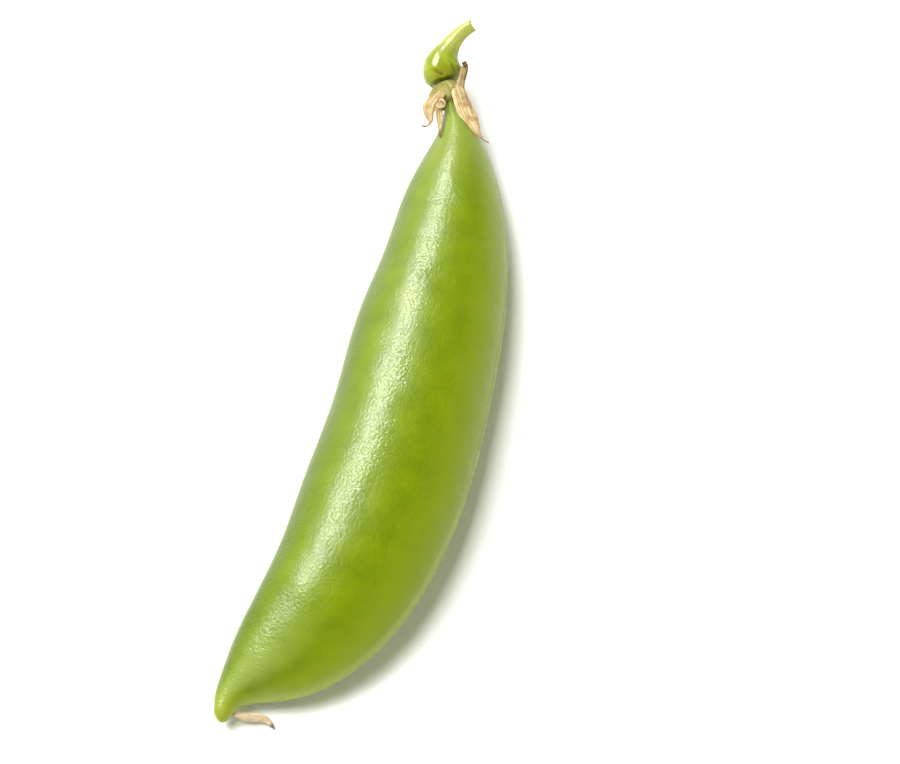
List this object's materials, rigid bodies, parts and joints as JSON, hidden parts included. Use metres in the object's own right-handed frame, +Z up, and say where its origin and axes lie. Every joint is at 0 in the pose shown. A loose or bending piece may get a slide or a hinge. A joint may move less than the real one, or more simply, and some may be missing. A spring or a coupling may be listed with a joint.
{
  "type": "sugar snap pea pod",
  "caption": "Plump closed sugar snap pea pod lying on its side, with a curved back, a beak with a dried style, and a swollen stem with a dried calyx.",
  "frame": {"origin": "on the surface that the pod lies on, under the middle of its bounding box", "axes": "+Y from the beak to the stem, +X towards the bulging seam, +Z up from the surface that it lies on"},
  "size_m": [0.02, 0.0874, 0.0121],
  "materials": {
    "pod_skin": "satin",
    "stem_skin": "satin",
    "calyx_cup_skin": "matte",
    "dried_lobe": "matte",
    "dried_stamen": "matte",
    "dried_style": "matte"
  },
  "bodies": {
    "root": {"calyx_cup": "calyx_cup_skin", "calyx_lobe_back_long": "dried_lobe", "calyx_lobe_folded": "dried_lobe", "calyx_lobe_front_broad": "dried_lobe", "calyx_lobe_front_narrow": "dried_lobe", "calyx_lobe_under": "dried_lobe", "pod": "pod_skin", "stamen_curl": "dried_stamen", "stem": "stem_skin", "style": "dried_style"}
  },
  "joints": []
}
